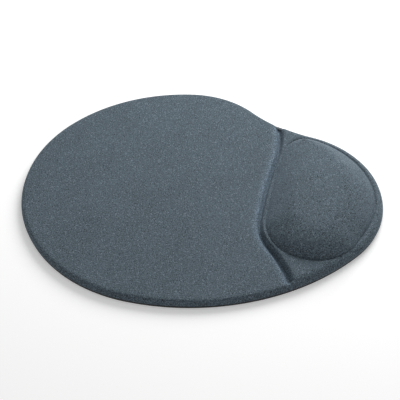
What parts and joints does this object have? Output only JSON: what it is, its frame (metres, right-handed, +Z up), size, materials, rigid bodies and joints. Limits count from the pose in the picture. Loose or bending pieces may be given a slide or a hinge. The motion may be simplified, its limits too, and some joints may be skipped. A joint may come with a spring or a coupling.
{
  "type": "desk pad with gel wrist rest",
  "caption": "Low rounded fabric desk pad with a raised gel-filled wrist rest pillow at one end, on a flat non-slip rubber base.",
  "frame": {"origin": "on the desk, under the middle of the outline's box", "axes": "+X from the flat part towards the wrist pillow, +Y away from the user's side in the usual view, +Z up"},
  "size_m": [0.2572, 0.2161, 0.024],
  "materials": {
    "cover_fabric": "fine smooth knit, matt with a faint sheen",
    "film": "thin flexible film, matt",
    "foam": "soft moulded foam, fine cells",
    "board": "flexible plastic sheet, matt",
    "adhesive": "thin dried glue film",
    "gel": "soft clear gel, glossy",
    "base_rubber": "matt textured non-slip rubber"
  },
  "bodies": {
    "root": {"non_slip_base": "base_rubber", "base_adhesive": "adhesive", "stiffener_board": "board", "fabric_cover": "cover_fabric", "cover_film": "film", "foam_body": "foam", "gel_pouch_lower_film": "film", "gel_pouch_upper_film": "film", "gel_core": "gel"}
  },
  "joints": []
}
